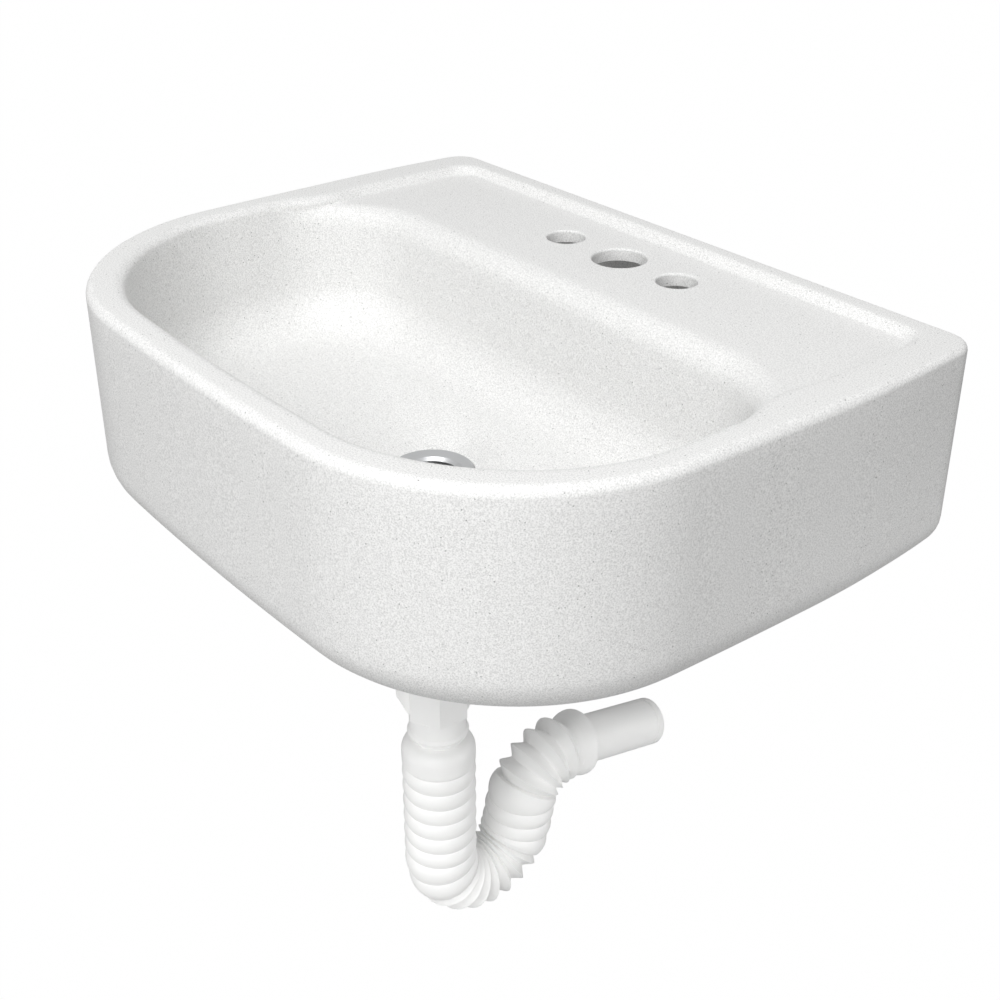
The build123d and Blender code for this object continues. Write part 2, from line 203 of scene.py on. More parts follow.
def turned_object(name: str, profile: list[Pair], centre: Pair, columns: int) -> Object:
    """Turn a profile of radius and height round a vertical axis: (x + r cos a, y + r sin a, z).

    Args:
        name: Name of the object.
        profile: Radius and height of each row.
        centre: X and Y of the axis.
        columns: Number of columns round the axis.
    Returns:
        The object, with doubled points merged.
    """
    turns = full_turn(columns)
    radius, height = (np.array(part)[:, None] for part in zip(*profile))
    points = np.stack([centre[0] + radius * np.cos(turns), centre[1] + radius * np.sin(turns),
                       np.broadcast_to(height, (len(profile), columns))], axis=-1)
    return closed_grid(name, points)


def cut_out(piece: Object, cutters: list[Object]) -> None:
    """Subtract cutters from a piece, keep the result as its mesh and remove the cutters.

    Args:
        piece: Piece that is cut.
        cutters: Closed objects.
    """
    for cutter in cutters:
        cut = piece.modifiers.new("cut", "BOOLEAN")
        cut.operation = "DIFFERENCE"
        cut.solver = "EXACT"
        cut.object = cutter
    bpy.context.view_layer.update()
    graph = bpy.context.evaluated_depsgraph_get()
    result = bpy.data.meshes.new_from_object(piece.evaluated_get(graph))
    piece.modifiers.clear()
    old = piece.data
    piece.data = result
    bpy.data.meshes.remove(old)
    for cutter in cutters:
        mesh = cutter.data
        bpy.data.objects.remove(cutter)
        bpy.data.meshes.remove(mesh)
    piece.data.shade_smooth()
    sharpen(piece)


def corner_rows(before: Row, corner: Row, after: Row, count: int) -> list[Row]:
    """Round a corner with a quarter of an ellipse that is tangent to both of its legs.

    With turn t from 0 to 90 degrees the point is corner + (before - corner)(1 - sin t)
    + (after - corner)(1 - cos t).

    Args:
        before: Reach and height where the rounding starts.
        corner: Reach and height of the sharp corner.
        after: Reach and height where the rounding ends.
        count: Number of rows.
    Returns:
        Reach and height of each row.
    """
    rows = []
    for turn in quarter_turn(count):
        back, ahead = 1 - np.sin(turn), 1 - np.cos(turn)
        rows.append(tuple(c + (b - c) * back + (a - c) * ahead
                          for b, c, a in zip(before, corner, after)))
    return rows


def between_rows(start: Row, end: Row, count: int) -> list[Row]:
    """Rows evenly spaced on the straight line from start to end, without its ends."""
    shares = np.arange(1, count + 1) / (count + 1)
    return [tuple(s + (e - s) * share for s, e in zip(start, end)) for share in shares]


@dataclass(frozen=True)
class Finish:
    """A material by its maker's name, with the numbers that its shader starts from."""
    name: str
    colour: str
    roughness: float
    metallic: float = 0.0
    ior: float = 1.5

    def start(self) -> tuple[Material, NodeTree, Node]:
        """Make the material with its shader set, where a metal keeps the default IOR.

        Returns:
            The material, its node tree and its shader node.
        """
        material = bpy.data.materials.new(self.name)
        material.use_nodes = True
        tree = material.node_tree
        shader = tree.nodes["Principled BSDF"]
        set_inputs(tree, shader, {"Base Color": self.colour, "Roughness": self.roughness,
                                  "Metallic": self.metallic})
        if not self.metallic:
            set_inputs(tree, shader, {"IOR": self.ior})
        return material, tree, shader


@dataclass(frozen=True)
class SpeckledResin(Finish):
    """Cast mineral-filled resin: a chalky white matrix with fine grey and dark grains of stone.

    The grains are a little coarser than real stone dust, so that they show at the photograph's
    distance as they do there. One cell in fourteen carries a dark speck, each of its own depth.
    """
    grain_mm: float = 0.8
    grain_roughness: float = 0.6
    grain_range: Pair = (0.38, 0.66)
    speck_mm: float = 1.5
    speck_threshold: float = 0.93
    speck_edge: Pair = (0.12, 0.34)
    grain_colour: str = "CFCFCE"
    speck_colour: str = "6E6E6D"
    bump_strength: float = 0.12
    bump_mm: float = 0.05

    def build(self) -> Material:
        """Make the speckled material.

        Returns:
            The material.
        """
        material, tree, shader = self.start()
        place = add_node(tree, "TexCoord").outputs["Object"]
        grain = add_node(tree, "TexNoise", {},
                         {"Vector": place, "Scale": 1 / (self.grain_mm * MM),
                          "Roughness": self.grain_roughness})
        grain_share = add_node(tree, "ValToRGB", {}, {"Fac": grain.outputs["Fac"]})
        for stop, position in zip(grain_share.color_ramp.elements, self.grain_range):
            stop.position = position
        cells = add_node(tree, "TexVoronoi", {"feature": "F1"},
                         {"Vector": place, "Scale": 1 / (self.speck_mm * MM)})
        chosen = add_node(tree, "SeparateColor", {}, {"Color": cells.outputs["Color"]})
        rare = add_node(tree, "Math", {"operation": "GREATER_THAN"},
                        {0: chosen.outputs["Red"], 1: self.speck_threshold})
        near = add_node(tree, "MapRange", {"interpolation_type": "SMOOTHSTEP"},
                        {"Value": cells.outputs["Distance"], "From Min": self.speck_edge[0],
                         "From Max": self.speck_edge[1], "To Min": 1.0, "To Max": 0.0})
        speck_share = add_node(tree, "Math", {"operation": "MULTIPLY"},
                               {0: rare.outputs[0], 1: near.outputs[0]})
        faint = add_node(tree, "Math", {"operation": "MULTIPLY"},
                         {0: speck_share.outputs[0], 1: chosen.outputs["Green"]})
        grained = add_node(tree, "Mix", {"data_type": "RGBA"},
                           {"Factor": grain_share.outputs["Color"], "A": self.colour,
                            "B": self.grain_colour})
        speckled = add_node(tree, "Mix", {"data_type": "RGBA"},
                            {"Factor": faint.outputs[0], "A": grained.outputs["Result"],
                             "B": self.speck_colour})
        bump = add_node(tree, "Bump", {},
                        {"Height": grain.outputs["Fac"], "Strength": self.bump_strength,
                         "Distance": self.bump_mm * MM})
        set_inputs(tree, shader, {"Base Color": speckled.outputs["Result"],
                                  "Normal": bump.outputs["Normal"]})
        return material


@dataclass(frozen=True)
class MouldedPlastic(Finish):
    """Moulded polypropylene: smooth, slightly waxy, with the faint unevenness of a cheap mould."""
    wave_mm: float = 9.0
    wave_detail: float = 3.0
    wave_strength: float = 0.3
    wave_height_mm: float = 0.05
    roughness_swing: float = 0.05
    wave_range: Pair = (0.3, 0.7)
    scatter_weight: float = 0.08
    scatter_mm: float = 4.0

    def build(self) -> Material:
        """Make the moulded material.

        Returns:
            The material.
        """
        material, tree, shader = self.start()
        place = add_node(tree, "TexCoord").outputs["Object"]
        wave = add_node(tree, "TexNoise", {},
                        {"Vector": place, "Scale": 1 / (self.wave_mm * MM),
                         "Detail": self.wave_detail})
        bump = add_node(tree, "Bump", {},
                        {"Height": wave.outputs["Fac"], "Strength": self.wave_strength,
                         "Distance": self.wave_height_mm * MM})
        cloud = add_node(tree, "MapRange", {},
                         {"Value": wave.outputs["Fac"], "From Min": self.wave_range[0],
                          "From Max": self.wave_range[1],
                          "To Min": self.roughness - self.roughness_swing,
                          "To Max": self.roughness + self.roughness_swing})
        set_inputs(tree, shader, {"Subsurface Weight": self.scatter_weight,
                                  "Subsurface Radius": (self.scatter_mm * MM,) * 3,
                                  "Normal": bump.outputs["Normal"],
                                  "Roughness": cloud.outputs["Result"]})
        return material


@dataclass(frozen=True)
class SatinSteel(Finish):
    """Pressed stainless steel, satin: grey with fine duller and brighter marks."""
    mark_mm: float = 0.5
    roughness_swing: float = 0.08

    def build(self) -> Material:
        """Make the satin metal.

        Returns:
            The material.
        """
        material, tree, shader = self.start()
        place = add_node(tree, "TexCoord").outputs["Object"]
        marks = add_node(tree, "TexNoise", {},
                         {"Vector": place, "Scale": 1 / (self.mark_mm * MM)})
        spread = add_node(tree, "MapRange", {},
                          {"Value": marks.outputs["Fac"],
                           "To Min": self.roughness - self.roughness_swing,
                           "To Max": self.roughness + self.roughness_swing})
        set_inputs(tree, shader, {"Roughness": spread.outputs["Result"]})
        return material


@dataclass(frozen=True)
class SealRubber(Finish):
    """Moulded black rubber of the washers, with a dusty bloom."""
    bloom_mm: float = 2.0
    bloom_colour: str = "3A3A3B"

    def build(self) -> Material:
        """Make the rubber.

        Returns:
            The material.
        """
        material, tree, shader = self.start()
        place = add_node(tree, "TexCoord").outputs["Object"]
        bloom = add_node(tree, "TexNoise", {},
                         {"Vector": place, "Scale": 1 / (self.bloom_mm * MM)})
        dusty = add_node(tree, "Mix", {"data_type": "RGBA"},
                         {"Factor": bloom.outputs["Fac"], "A": self.colour,
                          "B": self.bloom_colour})
        set_inputs(tree, shader, {"Base Color": dusty.outputs["Result"]})
        return material


class Surface(Enum):
    """The finishes of this basin and its trap."""
    BASIN = SpeckledResin("speckled_cast_resin", "F3F3F2", 0.55)
    HOSE = MouldedPlastic("blow_moulded_polypropylene", "FBFBFA", 0.42)
    NUT = MouldedPlastic("injection_moulded_polypropylene", "FBFBFA", 0.36, wave_mm=14.0,
                         wave_height_mm=0.03)
    METAL = SatinSteel("satin_steel", "B4B5B6", 0.34, 1.0)
    RUBBER = SealRubber("seal_rubber", "29292A", 0.75)


@dataclass
class Wardrobe:
    """Makes each material once and puts it on pieces."""
    made: dict = field(default_factory=dict)

    def dress(self, piece: Object, surface: Surface) -> None:
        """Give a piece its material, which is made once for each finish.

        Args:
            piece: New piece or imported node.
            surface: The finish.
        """
        if surface not in self.made:
            self.made[surface] = surface.value.build()
        piece.data.materials.clear()
        piece.data.materials.append(self.made[surface])


@dataclass(frozen=True)
class DShape:
    """Plan outline of a D: straight back, gently bowed sides and front, four rounded corners."""
    back_y: float
    back_half: float
    widest_half: float
    widest_y: float
    front_half: float
    front_y: float
    bow: float
    back_radius: float
    front_radius: float
    halvings: int = 40

    def outside(self, x: Array, y: Array, inset: float | Array) -> Array:
        """Distance by which points lie outside the outline, drawn in by inset.

        The side's half width is widest - (widest - end)(share of the way to the end)^2, and the
        front's y is front + bow (x / front half width)^2. Each corner is the distance to a corner
        drawn in by its radius, less that radius.

        Args:
            x: X of the points.
            y: Y of the points.
            inset: How far the outline is drawn in.
        Returns:
            Positive outside, negative inside.
        """
        towards_back = np.clip((y - self.widest_y) / (self.back_y - self.widest_y), 0, 2)
        towards_front = np.clip((self.widest_y - y) / (self.widest_y - self.front_y), 0, 2)
        side = (self.widest_half - (self.widest_half - self.back_half) * towards_back ** 2
                - (self.widest_half - self.front_half) * towards_front ** 2)
        front = self.front_y + self.bow * (x / self.front_half) ** 2
        is_back = y > self.widest_y
        radius = np.where(is_back, self.back_radius, self.front_radius)
        beyond_side = np.abs(x) - side + radius
        beyond_end = np.where(is_back, y - self.back_y, front - y) + radius
        outer = np.hypot(np.maximum(beyond_side, 0), np.maximum(beyond_end, 0))
        inner = np.minimum(np.maximum(beyond_side, beyond_end), 0)
        return outer + inner - radius + inset

    def reach(self, rays: "Rays", inset: float | Array = 0.0) -> Array:
        """Distance along each ray from the waste axis to the outline, found by halving.

        Args:
            rays: The rays.
            inset: How far the outline is drawn in.
        Returns:
            One distance per ray.
        """
        low = np.zeros_like(rays.angles)
        high = np.full_like(rays.angles, 2 * self.widest_half)
        for _ in range(self.halvings):
            middle = (low + high) / 2
            x, y = middle * rays.cosine, rays.centre_y + middle * rays.sine
            is_out = self.outside(x, y, inset) > 0
            high = np.where(is_out, middle, high)
            low = np.where(is_out, low, middle)
        return (low + high) / 2


@dataclass(frozen=True)
class Rays:
    """Rays in plan from the waste axis, all round."""
    centre_y: float
    count: int

    @property
    def angles(self) -> Array:
        """Angle of each ray, anticlockwise from +X."""
        return np.arange(self.count) * 2 * np.pi / self.count

    @property
    def cosine(self) -> Array:
        """X share of each ray."""
        return np.cos(self.angles)

    @property
    def sine(self) -> Array:
        """Y share of each ray."""
        return np.sin(self.angles)

    def place(self, rows: list[Row]) -> Array:
        """Turn rows of reach and height into a grid: (r cos a, centre + r sin a, z).

        Args:
            rows: Reach and height of each row, each one value or one per ray.
        Returns:
            Grid of points.
        """
        reach = np.stack([np.broadcast_to(r, self.angles.shape) for r, _ in rows])
        height = np.stack([np.broadcast_to(z, self.angles.shape) for _, z in rows])
        return np.stack([reach * self.cosine, self.centre_y + reach * self.sine, height], axis=-1)


@dataclass
class Basin:
    """The cast basin: one closed surface round the waste hole, with holes and pocket cut out.

    Heights named drop are measured down from the rim, and all sizes are in millimetres.
    """
    ray_count: int = 720
    rim_z: float = 72.0
    bottom_z: float = -66.5
    waste_y: float = -201.6
    rim_round: float = 6.0
    wall_round: float = 4.0
    round_change_y: Pair = (-150.0, -20.0)
    flat_least: float = 0.5
    roll_width: float = 44.0
    roll_height: float = 33.0
    wall_roll_share: float = 1.35
    foot_band: float = 8.0
    mouth_round: float = 5.0
    mouth_width: float = 8.0
    deck_drop: float = 5.5
    deck_roll_depth: float = 15.0
    deck_roll_height: float = 14.0
    step_run: float = 9.5
    step_blend: float = 14.0
    corner_blend: float = 8.0
    floor_drop: float = 89.0
    floor_round: float = 30.0
    floor_slope: float = 0.35
    wall_draft: float = 0.087
    seat_drop: float = 106.0
    seat_ledge_drop: float = 109.0
    seat_radius: float = 26.3
    seat_edge: Pair = (1.0, 2.0)
    hole_radius: float = 21.1
    recess_z: float = -53.0
    recess_edge: float = 2.0
    recess_corner: float = 3.0
    tap_y: float = -53.6
    tap_spacing: float = 101.6
    tap_side_radius: float = 12.5
    tap_centre_radius: float = 17.2
    tap_edge_round: float = 1.6
    tap_flare: Pair = (1.5, 0.4)
    tap_lift: Pair = (0.02, 0.001)
    cut_overrun: float = 4.0
    deck_thickness: float = 8.0
    screw_spacing: float = 280.0
    screw_radius: float = 5.0
    back_wall: float = 13.0
    pocket_half: float = 180.0
    pocket_front_y: float = -103.0
    pocket_radius: float = 14.0
    pocket_overrun: float = 5.0
    outer: DShape = DShape(0.0, 227.5, 234.3, -113.0, 227.0, -355.0, 10.0, 16.0, 127.0)
    bowl: DShape = DShape(-115.0, 206.0, 213.0, -200.0, 205.0, -334.0, 9.0, 62.0, 112.0)
    deck: DShape = DShape(-20.0, 200.0, 201.0, -100.0, 200.0, -190.0, 0.0, 16.0, 30.0)
    recess: DShape = DShape(-13.0, 180.0, 177.0, -113.0, 170.0, -298.0, 10.0, 14.0, 70.0)

    def top_round(self, rays: Rays) -> Array:
        """Radius of the outer top edge: smaller at the wall, easing to full size in front.

        Args:
            rays: The rays.
        Returns:
            One radius per ray.
        """
        place = self.waste_y + self.outer.reach(rays) * rays.sine
        first, last = self.round_change_y
        near_wall = smooth_step((place - first) / (last - first))
        return self.rim_round + (self.wall_round - self.rim_round) * near_wall

    def bowl_reach(self, rays: Rays, drop: float, rear: float = 0.0) -> Array:
        """Reach of the bowl's drafted wall at a drop, its rear edge pushed back by rear."""
        bowl = replace(self.bowl, back_y=self.bowl.back_y + rear)
        return bowl.reach(rays, self.wall_draft * drop)

    def floor_rows(self, rays: Rays) -> list[Row]:
        """Rows from the waste seat over the dished floor and its fillet to the foot of the wall.

        With share s of the way out, the floor rises by slope s + (1 - slope)(1 - (1 - s)^2).

        Args:
            rays: The rays.
        Returns:
            Reach and height of each row.
        """
        floor_z, lip_z = self.rim_z - self.floor_drop, self.rim_z - self.seat_drop
        radius = np.full(rays.count, self.seat_radius)
        seat = (radius, np.full(rays.count, self.rim_z - self.seat_ledge_drop))
        edge_drop, edge_run = self.seat_edge
        lip = corner_rows((radius, lip_z - edge_drop), (radius, lip_z),
                          (radius + edge_run, lip_z), count=4)
        inset = self.wall_draft * self.floor_drop
        end = (self.bowl.reach(rays, inset + self.floor_round), floor_z)
        foot = (self.bowl.reach(rays, inset), floor_z)
        wall = (self.bowl_reach(rays, self.floor_drop - self.floor_round),
                floor_z + self.floor_round)
        floor, inner = [], lip[-1][0]
        for share in np.linspace(0, 1, 16)[1:-1]:
            rise = self.floor_slope * share + (1 - self.floor_slope) * (1 - (1 - share) ** 2)
            floor.append((inner + (end[0] - inner) * share, lip_z + (floor_z - lip_z) * rise))
        return [seat] + lip + floor + corner_rows(end, foot, wall, count=14)

    def edge_rows(self, rays: Rays) -> list[Row]:
        """Rows over the deck's roll, the flat deck and the step or rounded mouth up to the rim.

        The roll is the bowl's outline with its rear edge pushed back along a quarter of an
        ellipse, cut where it meets the upper edge, which is the smooth maximum of mouth and deck.
        Where a flat deck lies before that edge, the rows rise in an S-shaped step, and elsewhere
        they go up the wall and round the mouth; the two are mixed by the width of the flat.

        Args:
            rays: The rays.
        Returns:
            Reach and height of each row.
        """
        deck_z = self.rim_z - self.deck_drop
        mouth, deck = self.bowl_reach(rays, self.deck_drop), self.deck.reach(rays)
        edge = (mouth + deck + np.sqrt((mouth - deck) ** 2 + self.corner_blend ** 2)) / 2
        rows = []
        for turn in quarter_turn(12):
            drop = self.deck_drop + self.deck_roll_height * (1 - np.sin(turn))
            roll = self.bowl_reach(rays, drop, self.deck_roll_depth * (1 - np.cos(turn)))
            rows.append((np.minimum(roll, edge), self.rim_z - drop))
        flat = edge - rows[-1][0]
        is_step = smooth_step(flat / self.step_blend)
        wall_z = np.linspace(0, self.deck_drop - self.mouth_round, 6)[1:]
        for rise, share in zip(wall_z, np.linspace(0, 1, 6)[1:]):
            rows.append((edge - flat * (1 - share), deck_z + rise * (1 - is_step)))
        for share in np.linspace(0, 1, 11)[1:]:
            turn = share * np.pi / 2
            mouth_reach = self.mouth_width * (1 - np.cos(turn))
            mouth_z = self.rim_z - self.mouth_round * (1 - np.sin(turn))
            step_z = deck_z + self.deck_drop * smooth_step(share)
            rows.append((edge + mouth_reach + (self.step_run * share - mouth_reach) * is_step,
                         mouth_z + (step_z - mouth_z) * is_step))
        return rows

    def rim_rows(self, rays: Rays, step_end: Array) -> list[Row]:
        """Rows over the flat rim and its rounded outer edge.

        Args:
            rays: The rays.
            step_end: Reach at which the step or the mouth has come up to the rim.
        Returns:
            Reach and height of each row.
        """
        rim, wall, size = self.rim_z, self.outer.reach(rays), self.top_round(rays)
        start = (np.maximum(self.outer.reach(rays, size), step_end + self.flat_least), rim)
        rounding = corner_rows(start, (wall, rim), (wall, rim - size), count=12)
        return between_rows((step_end, rim), start, count=2) + rounding

    def under_rows(self, rays: Rays) -> list[Row]:
        """Rows from the outer wall under the basin and up into the recess to the waste hole.

        The roll under the basin is the outline drawn in along a quarter of an ellipse, more so
        towards the wall, while the back stays flat on the wall.

        Args:
            rays: The rays.
        Returns:
            Reach and height of each row.
        """
        outer, bottom, ceiling = self.outer, self.bottom_z, self.recess_z
        wall = outer.reach(rays)
        rows = between_rows((wall, self.rim_z - self.top_round(rays)),
                            (wall, bottom + self.roll_height), count=6)
        for turn in quarter_turn(14):
            inset = self.roll_width * (1 - np.cos(turn))
            shape = replace(outer, back_half=outer.back_half - self.wall_roll_share * inset,
                            widest_half=outer.widest_half - inset,
                            front_half=outer.front_half - inset, front_y=outer.front_y + inset,
                            front_radius=outer.front_radius - inset)
            rows.append((shape.reach(rays), bottom + self.roll_height * (1 - np.sin(turn))))
        edge = np.minimum(self.recess.reach(rays), rows[-1][0] - self.foot_band)
        hole = np.full_like(wall, self.hole_radius)
        rows += corner_rows((edge + self.recess_edge, bottom), (edge, bottom),
                            (edge, bottom + self.recess_edge), count=4)
        rows += corner_rows((edge, ceiling - self.recess_corner), (edge, ceiling),
                            (edge - self.recess_corner, ceiling), count=4)
        rows += between_rows(rows[-1], (hole, ceiling), count=4)
        return rows + [(hole, ceiling), (hole, self.rim_z - self.seat_ledge_drop)]

    def tap_cutter(self, x: float, radius: float) -> Object:
        """Round cutter with a flared top that leaves a softly rounded hole edge.

        Args:
            x: Place along the deck.
            radius: Radius of the hole.
        Returns:
            The cutter, closed at both ends.
        """
        deck_z, soft = self.rim_z - self.deck_drop, self.tap_edge_round
        top, bottom = deck_z + self.cut_overrun, deck_z - self.deck_thickness - self.cut_overrun
        profile = [(0.0, top), (radius + soft + self.tap_flare[0], top),
                   (radius + soft + self.tap_flare[1], deck_z + self.tap_lift[0])]
        profile += [(radius + soft - soft * np.sin(turn),
                     deck_z - soft + soft * np.cos(turn) + self.tap_lift[1])
                    for turn in quarter_turn(7)]
        profile += [(radius, bottom), (0.0, bottom)]
        return turned_object("tap_cutter", profile[::-1], (x, self.tap_y), columns=96)

    def pocket_cutter(self) -> Object:
        """Rounded box that opens the space under the tap deck.

        Returns:
            The cutter, closed at both ends.
        """
        middle_y = (self.pocket_front_y - self.back_wall) / 2
        half_y = (-self.back_wall - self.pocket_front_y) / 2
        cosine, sine = np.cos(full_turn(48)), np.sin(full_turn(48))
        size = self.pocket_radius
        x = np.sign(cosine) * (self.pocket_half - size) + size * cosine
        y = np.sign(sine) * (half_y - size) + size * sine
        bottom = self.bottom_z - self.pocket_overrun
        ceiling = self.rim_z - self.deck_drop - self.deck_thickness
        rows = [np.stack([x * share, middle_y + y * share, np.full_like(x, z)], axis=-1)
                for z, share in ((bottom, 0.0), (bottom, 1.0), (ceiling, 1.0), (ceiling, 0.0))]
        return closed_grid("pocket_cutter", np.stack(rows))

    def screw_cutter(self, x: float) -> Object:
        """Round bar through the back wall for one wall screw.

        Args:
            x: Place along the wall.
        Returns:
            The cutter, closed at both ends.
        """
        turns = full_turn(32)
        back, front = self.cut_overrun, -self.back_wall - self.cut_overrun
        rows = [np.stack([x + radius * np.cos(turns), np.full_like(turns, y),
                          radius * np.sin(turns)], axis=-1)
                for y, radius in ((back, 0.0), (back, self.screw_radius),
                                  (front, self.screw_radius), (front, 0.0))]
        return closed_grid("screw_cutter", np.stack(rows))

    def build(self, wardrobe: Wardrobe) -> list[Object]:
        """Build the basin, cut its holes and dress it.

        Args:
            wardrobe: Source of the materials.
        Returns:
            The finished piece.
        """
        rays = Rays(self.waste_y, self.ray_count)
        rows = self.floor_rows(rays)
        roll_drop = self.deck_drop + self.deck_roll_height
        roll_start = (self.bowl_reach(rays, roll_drop), self.rim_z - roll_drop)
        rows += between_rows(rows[-1], roll_start, count=5)
        rows += self.edge_rows(rays)
        rows += self.rim_rows(rays, rows[-1][0]) + self.under_rows(rays)
        piece = closed_grid("cast_basin", rays.place(rows), closed_rows=True)
        taps = ((-self.tap_spacing / 2, self.tap_side_radius), (0.0, self.tap_centre_radius),
                (self.tap_spacing / 2, self.tap_side_radius))
        cut_out(piece, [*(self.tap_cutter(x, radius) for x, radius in taps), self.pocket_cutter(),
                        *(self.screw_cutter(side * self.screw_spacing / 2) for side in (-1, 1))])
        wardrobe.dress(piece, Surface.BASIN)
        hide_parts("basin")
        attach(piece, "basin_assembly")
        return [piece]


@dataclass(frozen=True)
class Route:
    """Centre line of the trap in the plane x = 0, measured from the top of its ribbed leg."""
    start_y: float = -201.6
    start_z: float = -255.0
    leg: float = 82.0
    u_radius: float = 34.3
    u_turn: float = 168.45
    rising: float = 19.0
    upper_radius: float = 35.5
    upper_turn: float = 90.5

    @property
    def u_length(self) -> float:
        """Length of the U bend."""
        return self.u_radius * np.radians(self.u_turn)

    @property
    def hose_end(self) -> float:
        """Distance at which the hose's rising leg ends."""
        return self.leg + self.u_length + self.rising

    @property
    def bellows_end(self) -> float:
        """Distance at which the upper bend ends."""
        return self.hose_end + self.upper_radius * np.radians(self.upper_turn)

    def at(self, distance: Array) -> tuple[Array, Array, Array]:
        """Place and heading at distances along the route.

        Each span of curvature k adds (sin(h + kl) - sin h) / k to y and the like to z, and a
        straight span adds l cos h and l sin h. The first span also runs back past the start, and
        the last one runs on.

        Args:
            distance: Distances from the top of the leg.
        Returns:
            Y, z and heading, which is 0 along +Y and 90 degrees along +Z.
        """
        spans = [(self.leg, 0.0), (self.u_length, 1 / self.u_radius), (self.rising, 0.0),
                 (self.bellows_end - self.hose_end, -1 / self.upper_radius), (np.inf, 0.0)]
        y, z = np.full_like(distance, self.start_y), np.full_like(distance, self.start_z)
        heading, start = -np.pi / 2, 0.0
        turn = np.full_like(distance, heading)
        for number, (length, curvature) in enumerate(spans):
            along = np.clip(distance - start, 0.0 if number else -np.inf, length)
            if curvature:
                y += (np.sin(heading + curvature * along) - np.sin(heading)) / curvature
                z -= (np.cos(heading + curvature * along) - np.cos(heading)) / curvature
                turn += curvature * along
                heading += curvature * length
            else:
                y += along * np.cos(heading)
                z += along * np.sin(heading)
            start += length
        return y, z, turn

    def bend_side(self, distance: Array) -> Array:
        """Side on which each place's bend has its centre.

        Args:
            distance: Distances from the top of the leg.
        Returns:
            1 in the U bend, -1 in the upper bend and 0 elsewhere.
        """
        in_u = (distance > self.leg) & (distance < self.leg + self.u_length)
        in_upper = (distance > self.hose_end) & (distance < self.bellows_end)
        return in_u.astype(float) - in_upper.astype(float)

    def tube(self, rows: Array, columns: int, crest: float = 0.0, pressed: float = 0.0) -> Array:
        """Carry a profile along the route.

        Each row's circle lies square to the route: centre + r (cos a along +X + sin a along the
        normal in the plane x = 0). On the inside of a bend the ribs are pressed together, so there
        the valleys are filled by the pressed share times max(0, side sin a).

        Args:
            rows: Distance and radius of each row.
            columns: Number of points round each circle.
            crest: Radius up to which pressed valleys fill, or 0 for none.
            pressed: Share of a valley's depth that is filled on the very inside of a bend.
        Returns:
            Grid of points.
        """
        y, z, heading = (part[:, None] for part in self.at(rows[:, 0]))
        turns = full_turn(columns)
        inside = np.maximum(self.bend_side(rows[:, 0])[:, None] * np.sin(turns), 0)
        radius = rows[:, 1:] + np.maximum(crest - rows[:, 1:], 0) * pressed * inside
        across, along = radius * np.cos(turns), radius * np.sin(turns)
        return np.stack([across, y - along * np.sin(heading), z + along * np.cos(heading)],
                        axis=-1)


